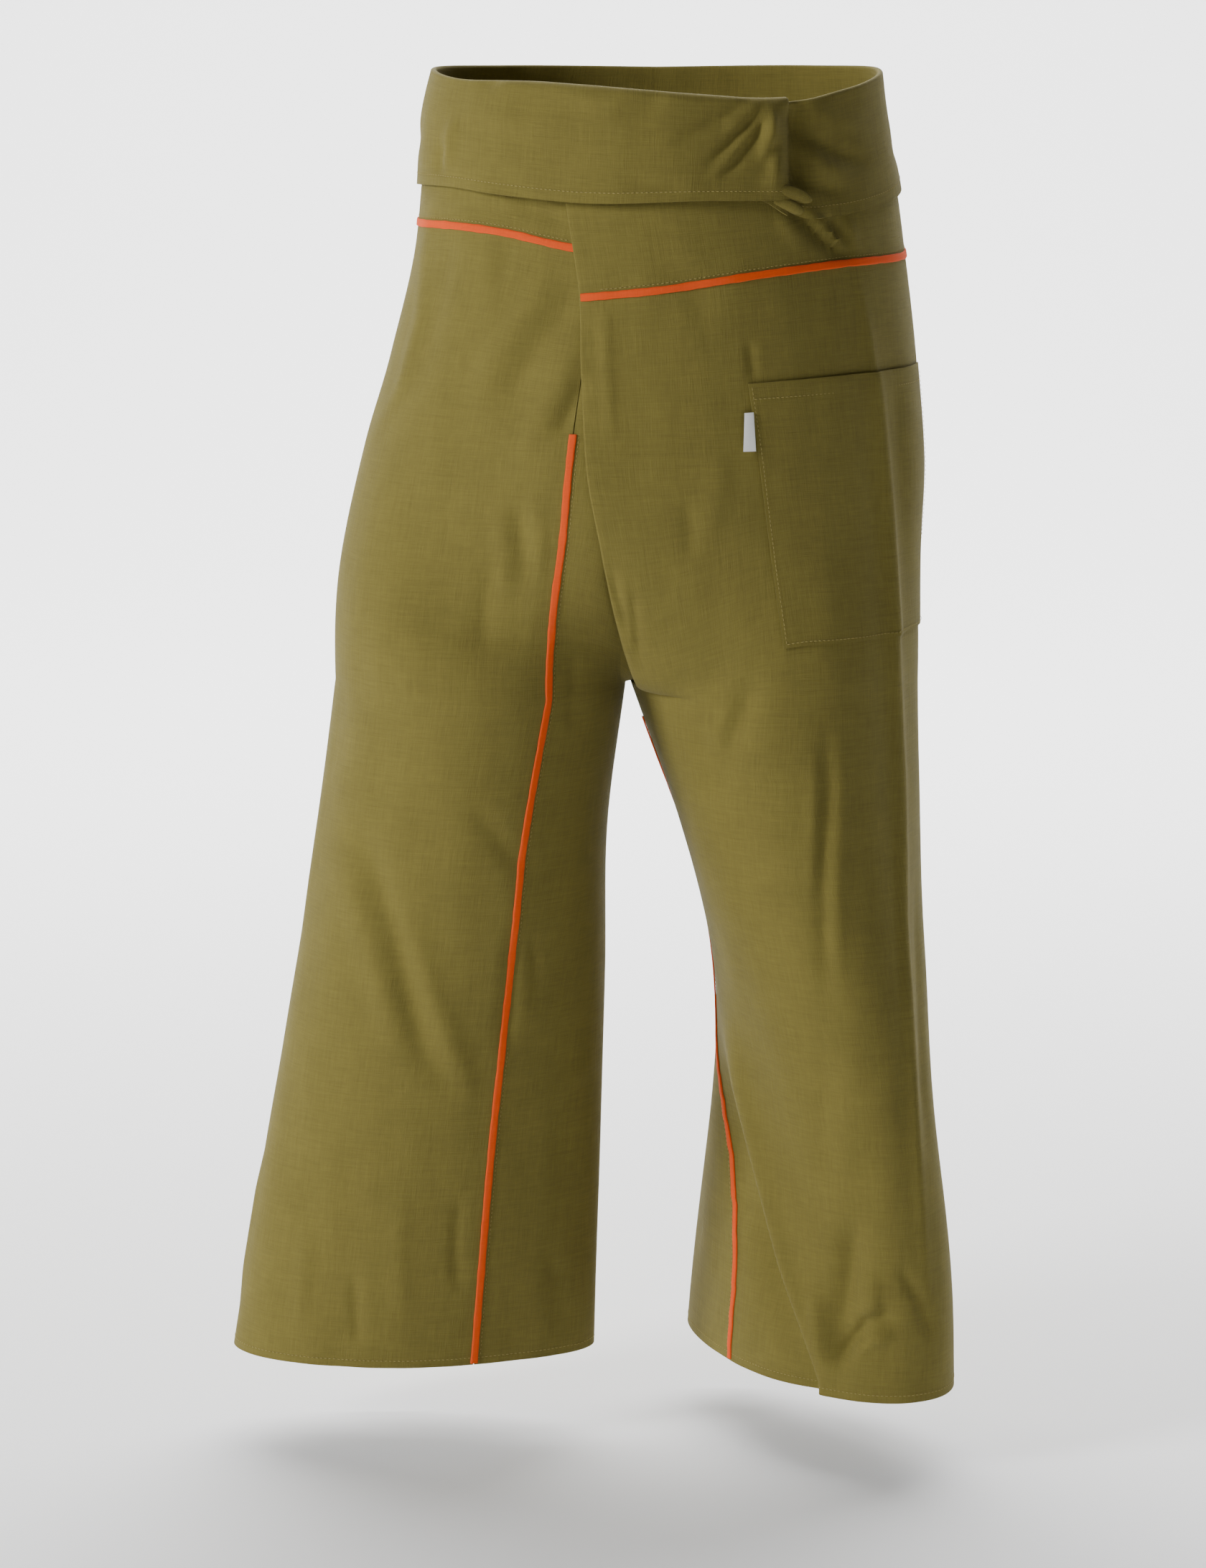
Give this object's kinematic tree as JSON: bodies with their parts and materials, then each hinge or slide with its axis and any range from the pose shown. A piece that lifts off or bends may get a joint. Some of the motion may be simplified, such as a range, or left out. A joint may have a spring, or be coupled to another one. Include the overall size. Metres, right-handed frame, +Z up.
{
  "type": "thai fisherman pants",
  "caption": "Wide wrap trousers with straight legs, a high waist folded over at the front and turned down over a tie, contrast piping and a thigh patch pocket.",
  "frame": {"origin": "centre of the waist opening, 26 mm below the turned rim, where the wearer's waist holds the garment", "axes": "+Z up along the body, the wearer faces -Y, the wearer's left is +X"},
  "size_m": [0.5601, 0.2862, 0.9991],
  "materials": {
    "cloth": "plain woven cotton, matte",
    "piping": "cotton piping, matte",
    "label": "woven tag, plain"
  },
  "bodies": {
    "root": {"leg_inner_left": "cloth", "leg_inner_right": "cloth", "leg_outer_left": "cloth", "leg_outer_right": "cloth", "piping_back_left": "piping", "piping_back_right": "piping", "piping_front_left": "piping", "piping_front_right": "piping", "piping_yoke_left": "piping", "piping_yoke_right": "piping", "pocket": "cloth", "tag": "label", "tie": "cloth", "waistband": "cloth"}
  },
  "joints": []
}
